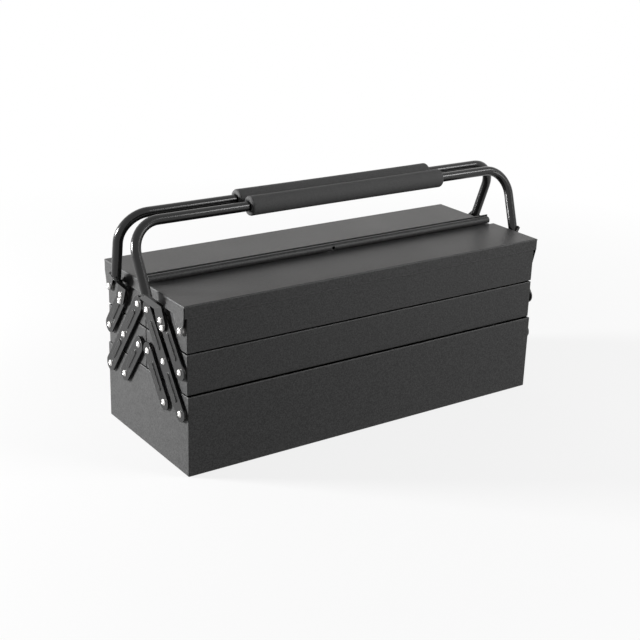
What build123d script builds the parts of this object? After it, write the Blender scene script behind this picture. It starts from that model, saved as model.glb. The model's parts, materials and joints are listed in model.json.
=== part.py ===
from build123d import *
from math import atan2, cos, degrees, hypot, pi, radians, sin
import os

# Cantilever toolbox of sheet steel: a deep base box, two tiers of trays that swing out
# to the front and to the rear, two hinged lids and two tube handles.
# X runs along the box, the front faces -Y, +Z is up, the origin is under the middle of the base.

os.makedirs("parts", exist_ok=True)

# Boxes of folded sheet steel
sheet = 0.8
base_height = 99.4
base_end_step = 0.5
base_front_step = 2.95
tray_length = 522.0
tray_width = 98.2
middle_tray_height = 49.3
top_tray_height = 54.6
base_tier_gap = 1.0
top_tier_gap = 1.7
centre_gap = 1.2
box_bend_radius = 1.1
hem_depth = 6.0
hem_slit = 0.4
hem_rounding = 0.7

# Lids
lid_end_gap = 3.2
lid_front_gap = 0.4
lid_headroom = 1.9
lid_flange = 14.6
lid_bend_radius = 1.6
lid_corner_slit = 0.9
ear_radius = 6.0
ear_root = 25.0
roll_diameter = 10.0
roll_setback = 8.5
roll_left_inset = 2.0
roll_right_inset = 8.0
curl_opening = 1.2
rear_lip_gap = 0.9
rear_lip_rise = 9.8
rear_lip_inset = 3.0
notch_margin = 0.8
padlock_hole_diameter = 5.0
padlock_hole_x = -4.0

# Cantilever linkage
outer_pivot_inset = 9.8
inner_pivot_inset = 11.1
tray_pivot_height = 26.6
lid_pivot_height = 25.6
link_width = 20.0
link_thickness = 2.0
link_stand_off = 2.6
rib_width = 7.0
rib_height = 1.2
rib_wall = 1.2
rib_clearance = 3.4
rib_slope = 30.0
rib_inner_slope = 15.0

# Rivets and spacers
rivet_diameter = 4.0
rivet_head_diameter = 8.2
rivet_head_height = 2.1
rivet_crown_radius = 4.6
rivet_dimple_diameter = 2.4
rivet_dimple_depth = 0.5
rivet_tail_diameter = 7.0
rivet_tail_height = 1.0
running_clearance = 0.05
axial_play = 0.08
spacer_diameter = 11.0

# Handles and grips
tube_diameter = 12.0
tube_wall = 1.5
tube_foot_gap = 7.0
tube_spread = 5.6
crossbar_rise = 106.0
handle_bend_radius = 34.0
neck_lean = 10.0
neck_rise = 23.0
tongue_thickness = 3.0
tongue_slope = 67.5
handle_sway = 2.3
tongue_top = 14.4
tongue_drop = 4.2
shoulder_rounding = 2.5
fixing_pitch = 9.2
grip_diameter = 24.0
grip_length = 293.0
grip_bore_clearance = 0.05
grip_gap = 0.6
grip_rounding = 2.6
front_grip_shift = 19.5
rear_grip_shift = 16.5

# Heights of the tiers
middle_floor_z = base_height + base_tier_gap
middle_rim_z = middle_floor_z + middle_tray_height
top_floor_z = middle_rim_z + top_tier_gap
top_rim_z = top_floor_z + top_tray_height
lid_underside_z = top_rim_z + lid_headroom
lid_top_z = lid_underside_z + sheet
flange_foot_z = lid_top_z - lid_flange

# The base stands out a little beyond the closed trays, and three pivots share a tray's width
base_length = tray_length + 2 * base_end_step
base_width = 2 * (tray_width + base_front_step) + centre_gap
pivot_step = (tray_width - outer_pivot_inset - inner_pivot_inset) / 2

# Places across the width, as distances from the centre plane, and along the length
tray_outer_y = centre_gap / 2 + tray_width
tray_middle_y = centre_gap / 2 + tray_width / 2
lid_outer_y = tray_outer_y + lid_front_gap + sheet
tray_end_x = tray_length / 2
base_end_x = base_length / 2
lid_end_x = tray_end_x + lid_end_gap + sheet
link_inner_x = tray_end_x + link_stand_off
link_outer_x = link_inner_x + link_thickness
tongue_outer_x = link_outer_x + tongue_thickness
hole_radius = rivet_diameter / 2 + running_clearance

# Pivots as (distance from the centre plane, height): a tier rises by as much as its links do
pivot_rise = middle_tray_height + top_tier_gap
pivot_y = [tray_outer_y - outer_pivot_inset - n * pivot_step for n in range(3)]
pivot_z = [middle_floor_z + tray_pivot_height + n * pivot_rise for n in (-1, 0, 1)]
base_pivots = [(pivot_y[0], pivot_z[0]), (pivot_y[1], pivot_z[0])]
middle_pivots = [(pivot_y[0], pivot_z[1]), (pivot_y[1], pivot_z[1]), (pivot_y[2], pivot_z[1])]
handle_pivot = (pivot_y[1], pivot_z[2])
inner_top_pivot = (pivot_y[2], pivot_z[2])
lid_pivot = (pivot_y[0], top_floor_z + lid_pivot_height)
link_pitch = hypot(pivot_step, pivot_rise)
link_lean = atan2(pivot_rise, pivot_step)
print("a closed link leans", round(degrees(link_lean), 3), "degrees from level")
print("the trays spread by", round(180 - 2 * degrees(link_lean), 3), "degrees of link travel")

# One step up a closed link of the front side, towards the centre plane, and one step up
# the handle's tongue, which stands steeper than the link under it
step_y = cos(link_lean)
step_z = sin(link_lean)
tongue_y = cos(radians(tongue_slope))
tongue_z = sin(radians(tongue_slope))
fixing_rivet = (handle_pivot[0] + fixing_pitch * tongue_y, handle_pivot[1] - fixing_pitch * tongue_z)


# Plane on the outside of the left end, with Y counted outwards from the centre plane
def left_wall(x):
    return Plane(origin=(-x, 0, 0), x_dir=(0, -1, 0), z_dir=(-1, 0, 0))


# Plane on the outside of the left end, whose X axis climbs a closed front link from a pivot
def along_link(x, pivot):
    return Plane(origin=(-x, -pivot[0], pivot[1]), x_dir=(0, step_y, step_z), z_dir=(-1, 0, 0))


def save(piece, name):
    piece.part.label = name
    export_step(piece.part, f"parts/{name}.step")


def mirrored(piece, about):
    with BuildPart() as twin:
        mirror(piece.part, about=about)
    return twin


# Both handles lean a little to the rear, each turned about its own pivot
def swayed(piece, pivot_side_y):
    with BuildPart() as leaning:
        add(piece.part.rotate(Axis((0, pivot_side_y, handle_pivot[1]), (1, 0, 0)), -handle_sway))
    return leaning


# Sheet steel boxes

# Folded box with an open top, a hem turned in at its rim and rivet holes through both ends
def folded_box(length, width, height, centre_y, floor_z, pivots):
    hem = 2 * sheet + hem_slit
    fold_height = hem / 2
    rim_z = floor_z + height
    middle = (0, centre_y)
    with BuildPart() as box:
        with BuildSketch(Plane.XY.offset(floor_z)):
            with Locations(middle):
                Rectangle(length, width)
        extrude(amount=height)
        bends = box.edges().filter_by(Axis.Z) + box.faces().sort_by(Axis.Z)[0].edges()
        fillet(bends, radius=box_bend_radius)
        offset(amount=-sheet, openings=box.faces().sort_by(Axis.Z)[-1])
        with BuildSketch(Plane.XY.offset(rim_z - hem_depth)):
            with Locations(middle):
                Rectangle(length - 2 * (sheet + hem_slit), width - 2 * (sheet + hem_slit))
                Rectangle(length - 2 * hem, width - 2 * hem, mode=Mode.SUBTRACT)
        extrude(amount=hem_depth)
        with BuildSketch(Plane.XY.offset(rim_z - fold_height)):
            with Locations(middle):
                RectangleRounded(length, width, box_bend_radius)
                Rectangle(length - 2 * hem, width - 2 * hem, mode=Mode.SUBTRACT)
        extrude(amount=fold_height)
        fillet(box.faces().sort_by(Axis.Z)[-1].edges(), radius=hem_rounding)
        with BuildSketch(left_wall(length / 2)):
            with Locations(*pivots):
                Circle(hole_radius)
        extrude(amount=-length, mode=Mode.SUBTRACT)
    return box


base_places = base_pivots + [(-y, z) for y, z in base_pivots]
save(folded_box(base_length, base_width, base_height, 0, 0, base_places), "base_box")

middle_tray = folded_box(tray_length, tray_width, middle_tray_height, -tray_middle_y,
                         middle_floor_z, middle_pivots)
top_tray = folded_box(tray_length, tray_width, top_tray_height, -tray_middle_y,
                      top_floor_z, [handle_pivot, inner_top_pivot, lid_pivot])
for name, tray in (("middle_tray", middle_tray), ("top_tray", top_tray)):
    save(tray, f"front_{name}")
    save(mirrored(tray, Plane.XZ), f"rear_{name}")


# Lids

# Plate with an outer flange at -Y and two end flanges, open at inner_y and below,
# with ears at both ends that reach down to the lid pivots
def lid_pan(inner_y):
    width = inner_y + lid_outer_y
    ear_y = lid_outer_y - lid_corner_slit
    root_z = flange_foot_z + sheet
    with BuildPart() as pan:
        with BuildSketch(Plane.XY.offset(flange_foot_z)):
            with Locations((0, inner_y)):
                Rectangle(2 * lid_end_x, width, align=(Align.CENTER, Align.MAX))
        extrude(amount=lid_flange)
        crest = pan.faces().sort_by(Axis.Z)[-1].edges().sort_by(Axis.Y)[:-1]
        fillet(crest, radius=lid_bend_radius)
        open_faces = [pan.faces().sort_by(Axis.Y)[-1], pan.faces().sort_by(Axis.Z)[0]]
        offset(amount=-sheet, openings=open_faces)
        # The outer flange and each end flange meet at an open corner
        with BuildSketch(Plane.XY.offset(flange_foot_z)):
            with Locations((-lid_end_x, -lid_outer_y), (lid_end_x, -lid_outer_y)):
                Rectangle(2 * lid_corner_slit, 2 * lid_corner_slit)
        extrude(amount=lid_flange - lid_bend_radius, mode=Mode.SUBTRACT)
        for inner_face_x in (-lid_end_x, lid_end_x - sheet):
            with BuildSketch(Plane.YZ.offset(inner_face_x)):
                with BuildLine():
                    root = Line((-ear_y, root_z), (-ear_y + ear_root, root_z))
                    toe = ThreePointArc((-lid_pivot[0] + ear_radius, lid_pivot[1]),
                                        (-lid_pivot[0], lid_pivot[1] - ear_radius),
                                        (-lid_pivot[0] - ear_radius, lid_pivot[1]))
                    Line(root @ 1, toe @ 0)
                    Line(toe @ 1, root @ 0)
                make_face()
                with Locations((-lid_pivot[0], lid_pivot[1])):
                    Circle(hole_radius, mode=Mode.SUBTRACT)
            extrude(amount=sheet)
    return pan


# Cuts the padlock hole through what stands between two distances in front of the centre plane
def padlock_hole_plane(y):
    return Plane(origin=(padlock_hole_x, y, roll_z), x_dir=(1, 0, 0), z_dir=(0, 1, 0))


# Front lid: the inner edge is curled up, and the plate is notched beyond the ends of the curl
roll_radius = roll_diameter / 2
roll_z = lid_underside_z + roll_radius
roll_left_x = lid_end_x - roll_left_inset
roll_right_x = lid_end_x - roll_right_inset
notch_y = -roll_setback - roll_radius - notch_margin
front_pan = lid_pan(notch_y)
with BuildPart() as front_lid:
    add(front_pan.part)
    with BuildSketch(Plane.YZ.offset(-roll_left_x)):
        with Locations((-roll_setback, roll_z)):
            Circle(roll_radius)
            Circle(roll_radius - sheet, mode=Mode.SUBTRACT)
        with Locations((notch_y, lid_top_z)):
            Rectangle(roll_radius + notch_margin, curl_opening, align=Align.MIN, mode=Mode.SUBTRACT)
        with Locations((notch_y - sheet, lid_underside_z)):
            Rectangle(roll_radius + notch_margin + sheet, sheet, align=Align.MIN)
    extrude(amount=roll_left_x + roll_right_x)
    with BuildSketch(padlock_hole_plane(-roll_setback - roll_diameter)):
        Circle(padlock_hole_diameter / 2)
    extrude(amount=2 * roll_diameter, mode=Mode.SUBTRACT)
save(front_lid, "front_lid")

# Rear lid: the same pan turned to the rear, with an inner edge that stands up behind the curl
lip_y = -roll_setback + roll_radius + rear_lip_gap
lip_end_x = lid_end_x - rear_lip_inset
rear_pan = lid_pan(-notch_margin)
with BuildPart() as rear_lid:
    mirror(rear_pan.part, about=Plane.XZ)
    with BuildSketch(Plane.YZ.offset(-lip_end_x)):
        with Locations((lip_y, lid_underside_z)):
            Rectangle(notch_margin + sheet - lip_y, sheet, align=Align.MIN)
            Rectangle(sheet, sheet + rear_lip_rise, align=Align.MIN)
    extrude(amount=2 * lip_end_x)
    with BuildSketch(padlock_hole_plane(lip_y - sheet)):
        Circle(padlock_hole_diameter / 2)
    extrude(amount=3 * sheet, mode=Mode.SUBTRACT)
save(rear_lid, "rear_lid")


# Links

# Flat bar with round ends and a pressed rib in each span, climbing from a pivot of the
# front left corner; a link under a handle's tongue, which slopes by so many degrees, has a
# hole for its fixing rivet and keeps its rib clear of it
def link_bar(pivot, spans, slope_above=None):
    length = spans * link_pitch
    tongue_reach = tongue_drop + tongue_width / 2
    with BuildPart() as bar:
        with BuildSketch(along_link(link_inner_x, pivot)):
            with Locations((length / 2, 0)):
                SlotCenterToCenter(length, link_width)
            with Locations(*[(n * link_pitch, 0) for n in range(spans + 1)]):
                Circle(hole_radius, mode=Mode.SUBTRACT)
            if slope_above:
                turn = radians(slope_above) - link_lean
                with Locations((length - fixing_pitch * cos(turn), fixing_pitch * sin(turn))):
                    Circle(hole_radius, mode=Mode.SUBTRACT)
        extrude(amount=link_thickness)
        for n in range(spans):
            rib_start = n * link_pitch + link_width / 2 + rib_clearance
            rib_end = (n + 1) * link_pitch - link_width / 2 - rib_clearance
            if slope_above:
                rib_end = length - tongue_reach - rib_height
            rib_length = rib_end - rib_start
            rib_middle = ((rib_start + rib_end) / 2, 0)
            with BuildSketch(along_link(link_outer_x, pivot)):
                with Locations(rib_middle):
                    SlotOverall(rib_length, rib_width)
            extrude(amount=rib_height, taper=rib_slope)
            with BuildSketch(along_link(link_inner_x, pivot)):
                with Locations(rib_middle):
                    SlotOverall(rib_length - 2 * rib_wall, rib_width - 2 * rib_wall)
            extrude(amount=link_thickness + rib_height - rib_wall, taper=rib_inner_slope,
                    mode=Mode.SUBTRACT)
    return bar


# A crushed tube is as wide as half its circumference
tongue_width = pi * tube_diameter / 2
long_link = link_bar(base_pivots[0], 2)
lower_link = link_bar(base_pivots[1], 1)
link_kinds = {
    "long_link": (long_link, long_link),
    "lower_link": (lower_link, lower_link),
    "upper_link": (link_bar(middle_pivots[0], 1, tongue_slope - handle_sway),
                   link_bar(middle_pivots[0], 1, tongue_slope + handle_sway)),
}
for name, (front_left, rear_pattern) in link_kinds.items():
    rear_left = mirrored(rear_pattern, Plane.XZ)
    save(front_left, f"front_left_{name}")
    save(mirrored(front_left, Plane.YZ), f"front_right_{name}")
    save(rear_left, f"rear_left_{name}")
    save(mirrored(rear_left, Plane.YZ), f"rear_right_{name}")


# Rivets and spacers, each modelled at the left end on the X axis

# Rivet from a tail on the inner face at tail_x to a head beyond the outer face at grip_x
def rivet(tail_x, grip_x):
    head_x = -grip_x - axial_play
    crown_x = head_x - rivet_head_height
    tail_end_x = -tail_x + rivet_tail_height
    with BuildPart() as one:
        with BuildSketch(Plane.XZ):
            with BuildLine():
                Polyline((tail_end_x, 0), (tail_end_x, rivet_tail_diameter / 2),
                         (-tail_x, rivet_tail_diameter / 2), (-tail_x, rivet_diameter / 2),
                         (head_x, rivet_diameter / 2), (head_x, rivet_head_diameter / 2))
                RadiusArc((head_x, rivet_head_diameter / 2), (crown_x, rivet_dimple_diameter / 2),
                          -rivet_crown_radius)
                Polyline((crown_x, rivet_dimple_diameter / 2),
                         (crown_x + rivet_dimple_depth, 0), (tail_end_x, 0))
            make_face()
        revolve(axis=Axis.X)
    return one


# Round spacer between a wall's outer face and the inner face of what turns on it
def spacer(wall_x, far_x):
    with BuildPart() as one:
        with BuildSketch(Plane.YZ.offset(-far_x + axial_play)):
            Circle(spacer_diameter / 2)
            Circle(hole_radius, mode=Mode.SUBTRACT)
        extrude(amount=far_x - axial_play - wall_x)
    return one


# One piece at several places of the left end, and the same at the right end
def at_both_ends(kinds):
    with BuildPart() as group:
        for piece, pivots in kinds:
            with Locations(*[(0, -y, z) for y, z in pivots]):
                add(piece.part)
        mirror(about=Plane.YZ)
    return group


base_rivet = rivet(base_end_x - sheet, link_outer_x)
tray_rivet = rivet(tray_end_x - sheet, link_outer_x)
handle_rivet = rivet(tray_end_x - sheet, tongue_outer_x)
lid_rivet = rivet(tray_end_x - sheet, lid_end_x)
clamp_rivet = rivet(link_inner_x, tongue_outer_x - axial_play)
base_spacer = spacer(base_end_x, link_inner_x)
tray_spacer = spacer(tray_end_x, link_inner_x)
lid_spacer = spacer(tray_end_x, lid_end_x - sheet)

save(at_both_ends([(base_rivet, base_places)]), "base_rivets")
save(at_both_ends([(base_spacer, base_places)]), "base_spacers")

top_pivots = [handle_pivot, inner_top_pivot]
side_hardware = {
    "middle_rivets": at_both_ends([(tray_rivet, middle_pivots)]),
    "middle_spacers": at_both_ends([(tray_spacer, middle_pivots)]),
    "top_rivets": at_both_ends([(handle_rivet, [handle_pivot]), (tray_rivet, [inner_top_pivot]),
                                (lid_rivet, [lid_pivot])]),
    "top_spacers": at_both_ends([(tray_spacer, top_pivots), (lid_spacer, [lid_pivot])]),
}
for name, group in side_hardware.items():
    save(group, f"front_{name}")
    save(mirrored(group, Plane.XZ), f"rear_{name}")
handle_rivets = at_both_ends([(clamp_rivet, [fixing_rivet])])
save(swayed(handle_rivets, -handle_pivot[0]), "front_handle_rivets")
save(swayed(mirrored(handle_rivets, Plane.XZ), handle_pivot[0]), "rear_handle_rivets")


# Handles

tube_radius = tube_diameter / 2
foot_x = lid_end_x + tube_foot_gap + tube_radius
neck_top = Vector(-foot_x, -handle_pivot[0] + neck_lean, handle_pivot[1] + neck_rise)
crossbar_y = -(grip_diameter + grip_gap) / 2
crossbar_z = handle_pivot[1] + crossbar_rise
corner = Vector(-foot_x - tube_spread, crossbar_y, crossbar_z)
leg_start = neck_top - (corner - neck_top).normalized() * tube_diameter

# Crushed end at the left: a flat tongue on the upper link, and above it a shoulder that
# slopes out at half a right angle, as far as the tube's outer side
shoulder_outer_x = foot_x + tube_radius
shoulder_top = tongue_top + shoulder_outer_x - tongue_outer_x
slant = tongue_thickness / 2 ** 0.5
tongue_face = Plane(origin=(-link_outer_x, -handle_pivot[0], handle_pivot[1]),
                    x_dir=(0, tongue_y, tongue_z), z_dir=(-1, 0, 0))
side_face = Plane(origin=(0, -handle_pivot[0], handle_pivot[1]),
                  x_dir=(-1, 0, 0), z_dir=(0, tongue_z, -tongue_y))
with BuildPart() as crushed_end:
    with BuildSketch(side_face):
        with BuildLine():
            Polyline((link_outer_x, tongue_top), (tongue_outer_x, tongue_top),
                     (shoulder_outer_x, shoulder_top),
                     (shoulder_outer_x - slant, shoulder_top + slant),
                     (link_outer_x, tongue_top + 2 * slant - tongue_thickness), close=True)
        make_face()
    extrude(amount=tongue_width / 2, both=True)
    outer_end = crushed_end.faces().sort_by(Axis((0, 0, 0), (-1, 0, 1)))[-1]
    rim = outer_end.edges().sort_by(SortBy.LENGTH)[:2]
    fillet(rim, radius=shoulder_rounding)
    with BuildSketch(tongue_face):
        with Locations(((tongue_top - tongue_drop) / 2, 0)):
            Rectangle(tongue_top + tongue_drop, tongue_width)
        with Locations((-tongue_drop, 0)):
            Circle(tongue_width / 2)
        with Locations((0, 0), (-fixing_pitch, 0)):
            Circle(hole_radius, mode=Mode.SUBTRACT)
    extrude(amount=tongue_thickness)

# The tube stands on the middle of the shoulder's thickness
shoulder_seat = side_face.from_local_coords((shoulder_outer_x - slant / 2, shoulder_top + slant / 2, 0))
seat_plane = Plane(origin=shoulder_seat, x_dir=(0, -tongue_z, tongue_y),
                   z_dir=(-1, -tongue_y, -tongue_z))
with BuildPart() as handle:
    with BuildLine():
        FilletPolyline(leg_start, corner, Vector(-corner.X, corner.Y, corner.Z),
                       Vector(-leg_start.X, leg_start.Y, leg_start.Z), radius=handle_bend_radius)
    with BuildSketch(Plane(origin=leg_start, x_dir=(1, 0, 0), z_dir=corner - leg_start)):
        Circle(tube_radius)
        Circle(tube_radius - tube_wall, mode=Mode.SUBTRACT)
    sweep()
    with BuildSketch(seat_plane):
        Rectangle(4 * tube_diameter, 6 * tube_diameter)
    spare_foot = extrude(amount=2 * tube_diameter, mode=Mode.SUBTRACT)
    mirror(spare_foot, about=Plane.YZ, mode=Mode.SUBTRACT)
    add(crushed_end.part)
    mirror(crushed_end.part, about=Plane.YZ)
save(swayed(handle, -handle_pivot[0]), "front_handle")
save(swayed(mirrored(handle, Plane.XZ), handle_pivot[0]), "rear_handle")

# Foam grips, one on each crossbar
for side, pivot_y, y, shift in (("front", -handle_pivot[0], crossbar_y, front_grip_shift),
                                ("rear", handle_pivot[0], -crossbar_y, rear_grip_shift)):
    with BuildPart() as grip:
        with BuildSketch(Plane(origin=(shift - grip_length / 2, y, crossbar_z), z_dir=(1, 0, 0))):
            Circle(grip_diameter / 2)
            Circle(tube_radius + grip_bore_clearance, mode=Mode.SUBTRACT)
        extrude(amount=grip_length)
        rims = grip.edges().filter_by(GeomType.CIRCLE).sort_by(SortBy.RADIUS)[-2:]
        fillet(rims, radius=grip_rounding)
    save(swayed(grip, pivot_y), f"{side}_grip")
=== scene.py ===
import json
import math

import bmesh
import bpy
from mathutils import Matrix, Vector


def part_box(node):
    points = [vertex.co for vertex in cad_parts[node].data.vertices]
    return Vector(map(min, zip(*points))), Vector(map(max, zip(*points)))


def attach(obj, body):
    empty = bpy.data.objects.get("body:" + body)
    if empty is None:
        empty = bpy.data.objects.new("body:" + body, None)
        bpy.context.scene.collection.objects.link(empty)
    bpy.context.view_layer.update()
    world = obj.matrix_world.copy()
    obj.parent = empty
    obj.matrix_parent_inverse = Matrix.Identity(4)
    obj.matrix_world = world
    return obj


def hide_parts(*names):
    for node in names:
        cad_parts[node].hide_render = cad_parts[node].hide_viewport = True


# Looks of a black cantilever toolbox, in metres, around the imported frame.
# The front faces -Y, X runs along the box, and the box stands on z = 0.

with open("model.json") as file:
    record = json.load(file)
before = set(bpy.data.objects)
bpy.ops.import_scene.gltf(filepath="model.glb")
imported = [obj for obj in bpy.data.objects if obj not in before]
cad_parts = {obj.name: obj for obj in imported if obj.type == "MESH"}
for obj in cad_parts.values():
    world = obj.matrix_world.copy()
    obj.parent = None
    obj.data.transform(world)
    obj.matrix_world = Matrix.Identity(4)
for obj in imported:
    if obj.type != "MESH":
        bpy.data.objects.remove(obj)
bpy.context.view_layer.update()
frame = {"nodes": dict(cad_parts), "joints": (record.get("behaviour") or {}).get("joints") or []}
mm = 0.001
sides = ("front", "rear")
joints = {joint["name"]: joint for joint in frame["joints"]}
print("stage: frame loaded,", len(frame["nodes"]), "nodes")


# A socket of a node tree that can stand in a sum, for shader and geometry nodes alike
class Wire:
    def __init__(self, tree, socket=None):
        self.tree = tree
        self.socket = socket

    # adds a node: its settings first, then the values or links of its sockets
    def node(self, kind, settings=None, sockets=None, output=0):
        made = self.tree.nodes.new(kind)
        for name, value in (settings or {}).items():
            setattr(made, name, value)
        for name, value in (sockets or {}).items():
            if isinstance(value, Wire):
                self.tree.links.new(value.socket, made.inputs[name])
            else:
                made.inputs[name].default_value = value
        return Wire(self.tree, made.outputs[output])

    def maths(self, operation, *values):
        return self.node("ShaderNodeMath", {"operation": operation}, dict(enumerate(values)))

    def __add__(self, other):
        return self.maths("ADD", self, other)

    __radd__ = __add__

    def __sub__(self, other):
        return self.maths("SUBTRACT", self, other)

    def __rsub__(self, other):
        return self.maths("SUBTRACT", other, self)

    def __mul__(self, other):
        return self.maths("MULTIPLY", self, other)

    def __truediv__(self, other):
        return self.maths("DIVIDE", self, other)

    # another output of the node that this socket belongs to
    def out(self, name):
        return Wire(self.tree, self.socket.node.outputs[name])


# Materials

def grey(level, warmth=0.0):
    return (level * (1 + warmth), level, level * (1 - warmth), 1)


def startMaterial(name):
    material = bpy.data.materials.new(name)
    material.use_nodes = True
    material.node_tree.nodes.clear()
    return material, Wire(material.node_tree)


def connectOutput(wire, kind, shader):
    end = wire.tree.nodes.new(kind)
    wire.tree.links.new(shader.socket, end.inputs["Surface"])


def closeMaterial(wire, sockets):
    shader = wire.node("ShaderNodeBsdfPrincipled", None, sockets)
    connectOutput(wire, "ShaderNodeOutputMaterial", shader)


# noise on object coordinates whose features are about size metres across
def noise(wire, size, detail, roughness=0.5):
    place = wire.node("ShaderNodeTexCoord", output="Object")
    return wire.node("ShaderNodeTexNoise", {"noise_dimensions": "3D"},
                     {"Vector": place, "Scale": 1 / size, "Detail": detail, "Roughness": roughness})


def mixColours(wire, amount, first, second):
    return wire.node("ShaderNodeMix", {"data_type": "RGBA"}, {0: amount, 6: first, 7: second}, output=2)


# start where the value is low, end where it is high, and a ramp between them
def ramp(wire, value, low, high, start=0.0, end=1.0, form="LINEAR"):
    return wire.node("ShaderNodeMapRange", {"interpolation_type": form},
                     {"Value": value, "From Min": low, "From Max": high, "To Min": start, "To Max": end})


# Black powder coat: a fine sandy grain over a soft orange peel
def powderCoat(name, look):
    material, wire = startMaterial(name)
    grain = noise(wire, look["grainSize"], detail=3.0, roughness=0.6)
    peel = noise(wire, look["peelSize"], detail=1.0)
    cloud = noise(wire, look["cloudSize"], detail=2.0)
    speck = ramp(wire, grain, look["speckFrom"], look["speckTo"])
    coat = mixColours(wire, speck, grey(look["dark"]), grey(look["light"]))
    # edges are softened by the coat, and painted paler where the surface turns: a painted highlight along the
    # edges, broken up by the grain
    soft = wire.node("ShaderNodeBevel", {"samples": 6}, {"Radius": look["edgeRounding"]})
    flat = wire.node("ShaderNodeNewGeometry", output="Normal")
    alike = wire.node("ShaderNodeVectorMath", {"operation": "DOT_PRODUCT"}, {0: soft, 1: flat}, output="Value")
    paintedHighlight = ramp(wire, 1 - alike, look["paintedHighlightFrom"], look["paintedHighlightTo"])
    patchy = (1 - look["paintedHighlightGrain"]) + grain * look["paintedHighlightGrain"]
    colour = mixColours(wire, paintedHighlight * patchy, coat, grey(look["paintedHighlightLevel"]))
    height = grain * look["grainShare"] + peel * (1 - look["grainShare"])
    relief = wire.node("ShaderNodeBump", None, {
        "Strength": look["bump"], "Distance": look["relief"], "Height": height, "Normal": soft})
    rough = look["roughness"] + (cloud - 0.5) * look["cloudChange"] + (grain - 0.5) * look["grainChange"]
    closeMaterial(wire, {
        "Base Color": colour, "Roughness": rough, "Normal": relief,
        "Specular IOR Level": look["specular"], "IOR": look["ior"]})
    return material


boxCoat = {
    # the paler edge colour and the range of its edge mask are a painted highlight along the edges
    "dark": 0.018, "light": 0.06, "paintedHighlightLevel": 0.2,
    "grainSize": 1.6 * mm, "peelSize": 4 * mm, "cloudSize": 90 * mm,
    "speckFrom": 0.35, "speckTo": 0.68, "grainShare": 0.7,
    "bump": 0.7, "relief": 0.3 * mm, "edgeRounding": 1.3 * mm,
    "paintedHighlightFrom": 0.004, "paintedHighlightTo": 0.07, "paintedHighlightGrain": 0.5,
    "roughness": 0.44, "cloudChange": 0.08, "grainChange": 0.25,
    "specular": 0.22, "ior": 1.5}
linkCoat = dict(
    boxCoat, dark=0.008, light=0.014, grainSize=0.8 * mm, bump=0.2, relief=0.2 * mm,
    edgeRounding=0.35 * mm, roughness=0.3)
tubeCoat = dict(
    boxCoat, dark=0.004, light=0.007, grainSize=0.9 * mm, bump=0.04, edgeRounding=0.3 * mm,
    roughness=0.2, grainChange=0.06, specular=0.4)


# Closed-cell foam: matt, with fine pores
def foam(name, look):
    material, wire = startMaterial(name)
    place = wire.node("ShaderNodeTexCoord", output="Object")
    cells = wire.node("ShaderNodeTexVoronoi", {"feature": "F1"},
                      {"Vector": place, "Scale": 1 / look["poreSize"]})
    skin = noise(wire, look["skinSize"], detail=3.0)
    pore = ramp(wire, cells, look["poreFrom"], look["poreTo"])
    # the pores are painted darker than the skin: painted shade in their hollows, where the relief sinks too
    shade = pore * look["poreShade"] + skin * (1 - look["poreShade"])
    height = pore * look["poreDepth"] + skin * (1 - look["poreDepth"])
    relief = wire.node("ShaderNodeBump", None,
                       {"Strength": look["bump"], "Distance": look["relief"], "Height": height})
    closeMaterial(wire, {
        "Base Color": mixColours(wire, shade, grey(look["dark"]), grey(look["light"])),
        "Roughness": look["roughness"] + (skin - 0.5) * look["skinChange"], "Normal": relief,
        "Specular IOR Level": look["specular"]})
    return material


foamLook = {
    "dark": 0.03, "light": 0.085, "poreSize": 0.9 * mm, "skinSize": 5 * mm,
    "poreFrom": 0.12, "poreTo": 0.45, "poreShade": 0.6, "poreDepth": 0.5,
    "bump": 0.4, "relief": 0.2 * mm, "roughness": 0.8, "skinChange": 0.1, "specular": 0.35}


# Bright plated steel of the rivets, with fine turning marks and a little dullness
def platedSteel(name, look):
    material, wire = startMaterial(name)
    mottle = noise(wire, look["mottleSize"], detail=3.0)
    scratch = noise(wire, look["scratchSize"], detail=4.0, roughness=0.7)
    dull, bright = grey(look["dark"], look["warmth"]), grey(look["light"], look["warmth"])
    relief = wire.node("ShaderNodeBump", None,
                       {"Strength": look["bump"], "Distance": look["relief"], "Height": scratch})
    closeMaterial(wire, {
        "Base Color": mixColours(wire, mottle, dull, bright), "Metallic": 1.0, "Normal": relief,
        "Roughness": look["roughness"] + (mottle - 0.5) * look["mottleChange"]})
    return material


rivetLook = {
    "dark": 0.4, "light": 0.7, "warmth": 0.02, "mottleSize": 2 * mm, "scratchSize": 0.3 * mm,
    "bump": 0.15, "relief": 0.05 * mm, "roughness": 0.3, "mottleChange": 0.2}

boxPaint = powderCoat("boxPowderCoat", boxCoat)
linkPaint = powderCoat("linkPowderCoat", linkCoat)
tubePaint = powderCoat("tubeGlossPaint", tubeCoat)
gripFoam = foam("gripFoam", foamLook)
rivetSteel = platedSteel("rivetSteel", rivetLook)


def setMaterial(piece, material):
    piece.data.materials.clear()
    piece.data.materials.append(material)


for name, piece in frame["nodes"].items():
    if name.endswith("_link"):
        setMaterial(piece, linkPaint)
    elif name.endswith("_handle"):
        setMaterial(piece, tubePaint)
    elif name.endswith(("_rivets", "_spacers")):
        setMaterial(piece, rivetSteel)
    elif name.endswith("_grip"):
        setMaterial(piece, gripFoam)
    else:
        setMaterial(piece, boxPaint)
print("stage: materials on the carried-over nodes")


# Rivets: one tree sets a tail, a shank and a domed, dimpled head at each point

rivetSizes = {
    "Head Radius": 4.1 * mm, "Head Height": 2.1 * mm, "Dimple Radius": 1.7 * mm, "Dimple Depth": 1.2 * mm,
    "Shank Radius": 2.0 * mm, "Tail Radius": 3.5 * mm, "Tail Height": 1.0 * mm}
rivetFacets = {"headSegments": 32, "headRings": 24, "shankSides": 24}
# the sheet under a tail, and how far the lid pivots' heads stand off the ends' outermost face
rivetSeats = {"wallThickness": 0.8 * mm, "lidStandOff": 0.08 * mm}


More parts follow.
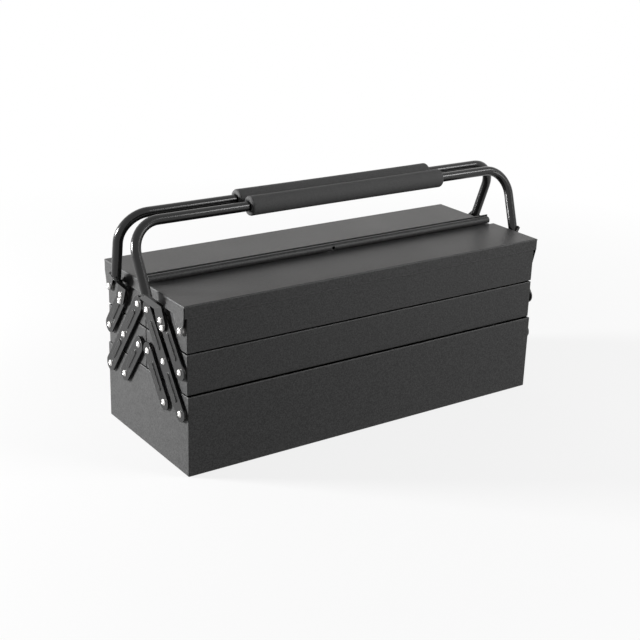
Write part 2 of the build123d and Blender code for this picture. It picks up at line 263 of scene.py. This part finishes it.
def buildRivetTree(material):
    tree = bpy.data.node_groups.new("rivetsAtPoints", "GeometryNodeTree")
    tree.interface.new_socket("Geometry", in_out="INPUT", socket_type="NodeSocketGeometry")
    for name, value in rivetSizes.items():
        socket = tree.interface.new_socket(name, in_out="INPUT", socket_type="NodeSocketFloat")
        socket.default_value = value
    tree.interface.new_socket("Geometry", in_out="OUTPUT", socket_type="NodeSocketGeometry")
    wire = Wire(tree)
    points = wire.node("NodeGroupInput")
    size = points.out
    # the head: a ball of radius 1, cut flat below, pressed in at its crown and brought to size
    ball = wire.node("GeometryNodeMeshUVSphere", None, {
        "Segments": rivetFacets["headSegments"], "Rings": rivetFacets["headRings"], "Radius": 1.0})
    place = wire.node("GeometryNodeInputPosition")
    x = wire.node("ShaderNodeSeparateXYZ", None, {0: place})
    y, z = x.out("Y"), x.out("Z")
    reach = wire.maths("SQRT", x * x + y * y) * size("Head Radius")
    share = reach / size("Dimple Radius")
    within = wire.maths("MAXIMUM", 1 - share * share, 0.0)
    above = wire.maths("GREATER_THAN", z, 0.001)
    height = wire.maths("MAXIMUM", z, 0.0) * size("Head Height") - within * above * size("Dimple Depth")
    shaped = wire.node("ShaderNodeCombineXYZ", None,
                       {0: x * size("Head Radius"), 1: y * size("Head Radius"), 2: height})
    head = wire.node("GeometryNodeSetPosition", None, {"Geometry": ball, "Position": shaped})
    # the shank, one metre long until it takes its point's grip length
    rod = wire.node("GeometryNodeMeshCylinder", None,
                    {"Vertices": rivetFacets["shankSides"], "Radius": size("Shank Radius"), "Depth": 1.0})
    shank = wire.node("GeometryNodeTransform", None, {"Geometry": rod, "Translation": (0, 0, -0.5)})
    disc = wire.node("GeometryNodeMeshCylinder", None,
                     {"Vertices": rivetFacets["shankSides"], "Radius": size("Tail Radius"),
                      "Depth": size("Tail Height")})
    grip = wire.node("GeometryNodeInputNamedAttribute", {"data_type": "FLOAT"}, {"Name": "gripLength"})
    # each point faces outwards along X
    outwards = wire.maths("SIGN", wire.node("ShaderNodeSeparateXYZ", None, {0: place}))
    facing = wire.node("ShaderNodeCombineXYZ", None, {0: outwards, 1: 0.0, 2: 0.0})
    turn = wire.node("FunctionNodeAlignRotationToVector", {"axis": "Z"}, {"Vector": facing})
    stretch = wire.node("ShaderNodeCombineXYZ", None, {0: 1.0, 1: 1.0, 2: grip})
    inwards = wire.node("ShaderNodeCombineXYZ", None,
                        {0: outwards * (0 - grip - size("Tail Height") * 0.5), 1: 0.0, 2: 0.0})
    tailPoints = wire.node("GeometryNodeSetPosition", None, {"Geometry": points, "Offset": inwards})
    stamp = "GeometryNodeInstanceOnPoints"
    heads = wire.node(stamp, None, {"Points": points, "Instance": head, "Rotation": turn})
    shanks = wire.node(stamp, None,
                       {"Points": points, "Instance": shank, "Rotation": turn, "Scale": stretch})
    tails = wire.node(stamp, None, {"Points": tailPoints, "Instance": disc, "Rotation": turn})
    joined = tree.nodes.new("GeometryNodeJoinGeometry")
    for part in (heads, shanks, tails):
        tree.links.new(part.socket, joined.inputs[0])
    smooth = wire.node("GeometryNodeSetShadeSmooth", None, {"Geometry": Wire(tree, joined.outputs[0])})
    real = wire.node("GeometryNodeRealizeInstances", None, {"Geometry": smooth})
    painted = wire.node("GeometryNodeSetMaterial", None, {"Geometry": real, "Material": material})
    end = tree.nodes.new("NodeGroupOutput")
    tree.links.new(painted.socket, end.inputs[0])
    return tree


# leaves the plain mesh of a Geometry Nodes piece, with its modifier gone
def freeze(piece):
    bpy.context.view_layer.update()
    ready = piece.evaluated_get(bpy.context.evaluated_depsgraph_get())
    mesh = bpy.data.meshes.new_from_object(ready)
    piece.modifiers.clear()
    piece.data = mesh
    mesh.name = piece.name


# rivets at both ends, from rows of (y, z, outer face that the head sits on, inner face of the tail)
def makeRivets(name, body, rows, node):
    mesh = bpy.data.meshes.new(name)
    mesh.from_pydata([(end * seat, y, z) for y, z, seat, tail in rows for end in (-1, 1)], [], [])
    lengths = [seat - tail for y, z, seat, tail in rows for end in (-1, 1)]
    mesh.attributes.new("gripLength", "FLOAT", "POINT").data.foreach_set("value", lengths)
    piece = bpy.data.objects.new(name, mesh)
    bpy.context.scene.collection.objects.link(piece)
    modifier = piece.modifiers.new("rivets", "NODES")
    modifier.node_group = rivetTree
    for socket in rivetTree.interface.items_tree:
        if socket.name in rivetSizes and socket.in_out == "INPUT":
            modifier[socket.identifier] = rivetSizes[socket.name]
    freeze(piece)
    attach(piece, body)
    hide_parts(node)


# where a joint's axis crosses the ends, as (y, z)
def pivot(joint):
    place = joints[joint]["pos_m"]
    return place[1], place[2]


def headSeat(node):
    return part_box(node)[1].x - rivetSizes["Head Height"]


def tailSeat(node):
    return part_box(node)[1].x - rivetSeats["wallThickness"]


rivetTree = buildRivetTree(rivetSteel)
baseSeats = (headSeat("base_rivets"), tailSeat("base_box"))
trayTail = tailSeat("front_top_tray")
baseRows = []
for side in sides:
    handle = pivot(side + "_handle_turn")
    middle = pivot(side + "_middle_tray_level")
    top = pivot(side + "_top_tray_level")
    linkSeats = (headSeat(side + "_middle_rivets"), trayTail)
    tongueSeats = (headSeat(side + "_top_rivets"), trayTail)
    lidSeats = (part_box(side + "_lid")[1].x + rivetSeats["lidStandOff"], trayTail)
    handleSeats = (headSeat(side + "_handle_rivets"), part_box(side + "_right_upper_link")[0].x)
    baseRows += [pivot(side + "_spread") + baseSeats, pivot(side + "_lower_link_turn") + baseSeats]
    makeRivets(side + "MiddleRivets", side + "_middle_tray",
               [handle + linkSeats, middle + linkSeats, (top[0], middle[1]) + linkSeats],
               side + "_middle_rivets")
    makeRivets(side + "TopRivets", side + "_top_tray",
               [(middle[0], top[1]) + tongueSeats, top + linkSeats, pivot(side + "_lid_open") + lidSeats],
               side + "_top_rivets")
    low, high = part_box(side + "_handle_rivets")
    makeRivets(side + "HandleRivets", side + "_handle",
               [((low.y + high.y) / 2, (low.z + high.z) / 2) + handleSeats], side + "_handle_rivets")
makeRivets("baseRivets", "base", baseRows, "base_rivets")
print("stage: rivets")


# Grips: foam sleeves with rounded rims and a slight waist

gripShape = {
    "tubeRadius": 6 * mm, "boreClearance": 0.1 * mm, "boreDepth": 14 * mm, "endLip": 0.6 * mm,
    "rimRounding": 3.2 * mm, "waist": 0.35 * mm, "waistPower": 0.5,
    "rimSteps": 8, "steps": 48, "sides": 64}


# half of the sleeve's outline, then its waist, then the other half, as points (x, radius)
def gripProfile(low, high, outer):
    bore = gripShape["tubeRadius"] + gripShape["boreClearance"]
    rounding = gripShape["rimRounding"]
    rim = [(low + gripShape["boreDepth"], bore), (low + gripShape["endLip"], bore)]
    for step in range(gripShape["rimSteps"] + 1):
        angle = math.radians(180 - step * 90 / gripShape["rimSteps"])
        rim.append((low + rounding + rounding * math.cos(angle),
                    outer - rounding + rounding * math.sin(angle)))
    length = high - low - 2 * rounding
    waist = []
    for step in range(1, gripShape["steps"]):
        share = step / gripShape["steps"]
        dip = gripShape["waist"] * math.sin(math.pi * share) ** gripShape["waistPower"]
        waist.append((low + rounding + share * length, outer - dip))
    return rim + waist + [(low + high - x, r) for x, r in reversed(rim)]


def makeGrip(side):
    low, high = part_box(side + "_grip")
    middle = (low + high) / 2
    profile = gripProfile(low.x, high.x, (high.z - low.z) / 2)
    count = gripShape["sides"]
    verts, faces = [], []
    for x, r in profile:
        for n in range(count):
            angle = 2 * math.pi * n / count
            verts.append((x, middle.y + r * math.cos(angle), middle.z + r * math.sin(angle)))
    for row in range(len(profile) - 1):
        for n in range(count):
            a, b = row * count + n, row * count + (n + 1) % count
            faces.append((a, b, b + count, a + count))
    last = (len(profile) - 1) * count
    for n in range(count):
        faces.append((last + n, last + (n + 1) % count, (n + 1) % count, n))
    mesh = bpy.data.meshes.new(side + "Grip")
    mesh.from_pydata(verts, [], faces)
    shell = bmesh.new()
    shell.from_mesh(mesh)
    bmesh.ops.recalc_face_normals(shell, faces=shell.faces)
    shell.to_mesh(mesh)
    shell.free()
    mesh.shade_smooth()
    piece = bpy.data.objects.new(side + "Grip", mesh)
    bpy.context.scene.collection.objects.link(piece)
    setMaterial(piece, gripFoam)
    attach(piece, side + "_handle")
    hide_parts(side + "_grip")


for side in sides:
    makeGrip(side)
print("stage: grips")


# Floor, light and camera

# The floor near the box shines by floorGlow, and fully from glowReach metres on. The box is lit from
# below by tableLevel, from around it by roomLevel, and by a paler wall behind it, which fades in over
# these ranges of a direction's y and z.
studio = {
    "floorSize": 60.0, "floorDrop": 0.4 * mm, "floorLevel": 0.9,
    "floorGlow": 0.8, "glowStart": 0.5, "glowReach": 1.2,
    "tableLevel": 0.05, "roomLevel": 0.1, "wallLevel": 0.4,
    "wallY": (-0.2, 0.6), "wallZ": (0.35, 0.75)}


# 1 for the rays that show the white background: straight ones, mirrored ones and ones through clear pieces
def backgroundRays(wire):
    rays = wire.node("ShaderNodeLightPath")
    shown = wire.maths("MAXIMUM", rays, rays.out("Is Glossy Ray"))
    return wire.maths("MAXIMUM", shown, rays.out("Is Transmission Ray"))


def makeFloor():
    material, wire = startMaterial("floorWhite")
    lit = wire.node("ShaderNodeBsdfDiffuse", None, {"Color": grey(studio["floorLevel"])})
    glow = wire.node("ShaderNodeEmission", None, {"Color": grey(1.0), "Strength": 1.0})
    dim = wire.node("ShaderNodeEmission", None, {"Color": grey(studio["tableLevel"]), "Strength": 1.0})
    # the far floor glows fully, so that the ground runs out into pure white
    place = wire.node("ShaderNodeTexCoord", output="Object")
    away = wire.node("ShaderNodeVectorMath", {"operation": "LENGTH"}, {0: place}, output="Value")
    glowing = ramp(wire, away, studio["glowStart"], studio["glowReach"], studio["floorGlow"], 1.0)
    seen = wire.node("ShaderNodeMixShader", None, {0: glowing, 1: lit, 2: glow})
    both = wire.node("ShaderNodeMixShader", None, {0: backgroundRays(wire), 1: dim, 2: seen})
    connectOutput(wire, "ShaderNodeOutputMaterial", both)
    half = studio["floorSize"] / 2
    mesh = bpy.data.meshes.new("floor")
    mesh.from_pydata([(-half, -half, 0), (half, -half, 0), (half, half, 0), (-half, half, 0)],
                     [], [(0, 1, 2, 3)])
    floor = bpy.data.objects.new("floor", mesh)
    bpy.context.scene.collection.objects.link(floor)
    floor.location.z = -studio["floorDrop"]
    setMaterial(floor, material)


def makeWorld():
    world = bpy.data.worlds.new("studioWorld")
    bpy.context.scene.world = world
    world.use_nodes = True
    world.node_tree.nodes.clear()
    wire = Wire(world.node_tree)
    white = wire.node("ShaderNodeBackground", None, {"Color": grey(1.0), "Strength": 1.0})
    around = wire.node("ShaderNodeTexCoord", output="Generated")
    direction = wire.node("ShaderNodeSeparateXYZ", None, {0: around})
    behind = ramp(wire, direction.out("Y"), *studio["wallY"], form="SMOOTHSTEP")
    low = ramp(wire, direction.out("Z"), *studio["wallZ"], start=1.0, end=0.0, form="SMOOTHSTEP")
    shown = mixColours(wire, behind * low, grey(studio["roomLevel"]), grey(studio["wallLevel"]))
    soft = wire.node("ShaderNodeBackground", None, {"Color": shown, "Strength": 1.0})
    both = wire.node("ShaderNodeMixShader", None, {0: backgroundRays(wire), 1: soft, 2: white})
    connectOutput(wire, "ShaderNodeOutputWorld", both)


# each lamp: where it stands, where it points, its size, its power and how warm its light is
lamps = {
    "leftRear": {"place": (-1.95, 1.25, 0.45), "aim": (-0.2, 0, 0.15), "size": (0.5, 0.5),
                 "power": 135, "warmth": 0.0},
    "backdrop": {"place": (1.1, 2.6, 0.95), "aim": (0, 0, 0.15), "size": (3.0, 1.4),
                 "power": 6, "warmth": 0.05},
    "overRight": {"place": (1.2, -1.35, 1.3), "aim": (0, 0, 0.15), "size": (0.9, 0.5),
                  "power": 22, "warmth": 0.0},
    "frontRight": {"place": (0.8, -1.15, 0.25), "aim": (0.15, 0, 0.1), "size": (0.25, 0.6),
                   "power": 3, "warmth": 0.0},
}


def makeLamps():
    for name, look in lamps.items():
        data = bpy.data.lights.new(name, "AREA")
        data.shape = "RECTANGLE"
        data.size, data.size_y = look["size"]
        data.energy = look["power"]
        data.color = grey(1.0, look["warmth"])[:3]
        lamp = bpy.data.objects.new(name, data)
        bpy.context.scene.collection.objects.link(lamp)
        place, aim = Vector(look["place"]), Vector(look["aim"])
        lamp.location = place
        lamp.rotation_euler = (aim - place).to_track_quat("-Z", "Y").to_euler()


# the photograph's viewpoint, found from the box's corners: degrees, and millimetres for the lens and sensor
viewpoint = {
    "place": (-0.8904, -1.2455, 0.6811), "azimuth": -35.195, "elevation": 20.413, "roll": 1.791,
    "lens": 71.01, "sensor": 36}


def makeCamera():
    data = bpy.data.cameras.new("camera")
    data.sensor_width = viewpoint["sensor"]
    data.lens = viewpoint["lens"]
    camera = bpy.data.objects.new("camera", data)
    bpy.context.scene.collection.objects.link(camera)
    turn = (Matrix.Rotation(math.radians(viewpoint["azimuth"]), 4, "Z")
            @ Matrix.Rotation(math.radians(90 - viewpoint["elevation"]), 4, "X")
            @ Matrix.Rotation(math.radians(viewpoint["roll"]), 4, "Z"))
    camera.matrix_world = Matrix.Translation(viewpoint["place"]) @ turn
    bpy.context.scene.camera = camera


makeFloor()
makeWorld()
makeLamps()
makeCamera()
bpy.context.scene.view_settings.view_transform = "Standard"
print("stage: floor, lamps and camera")
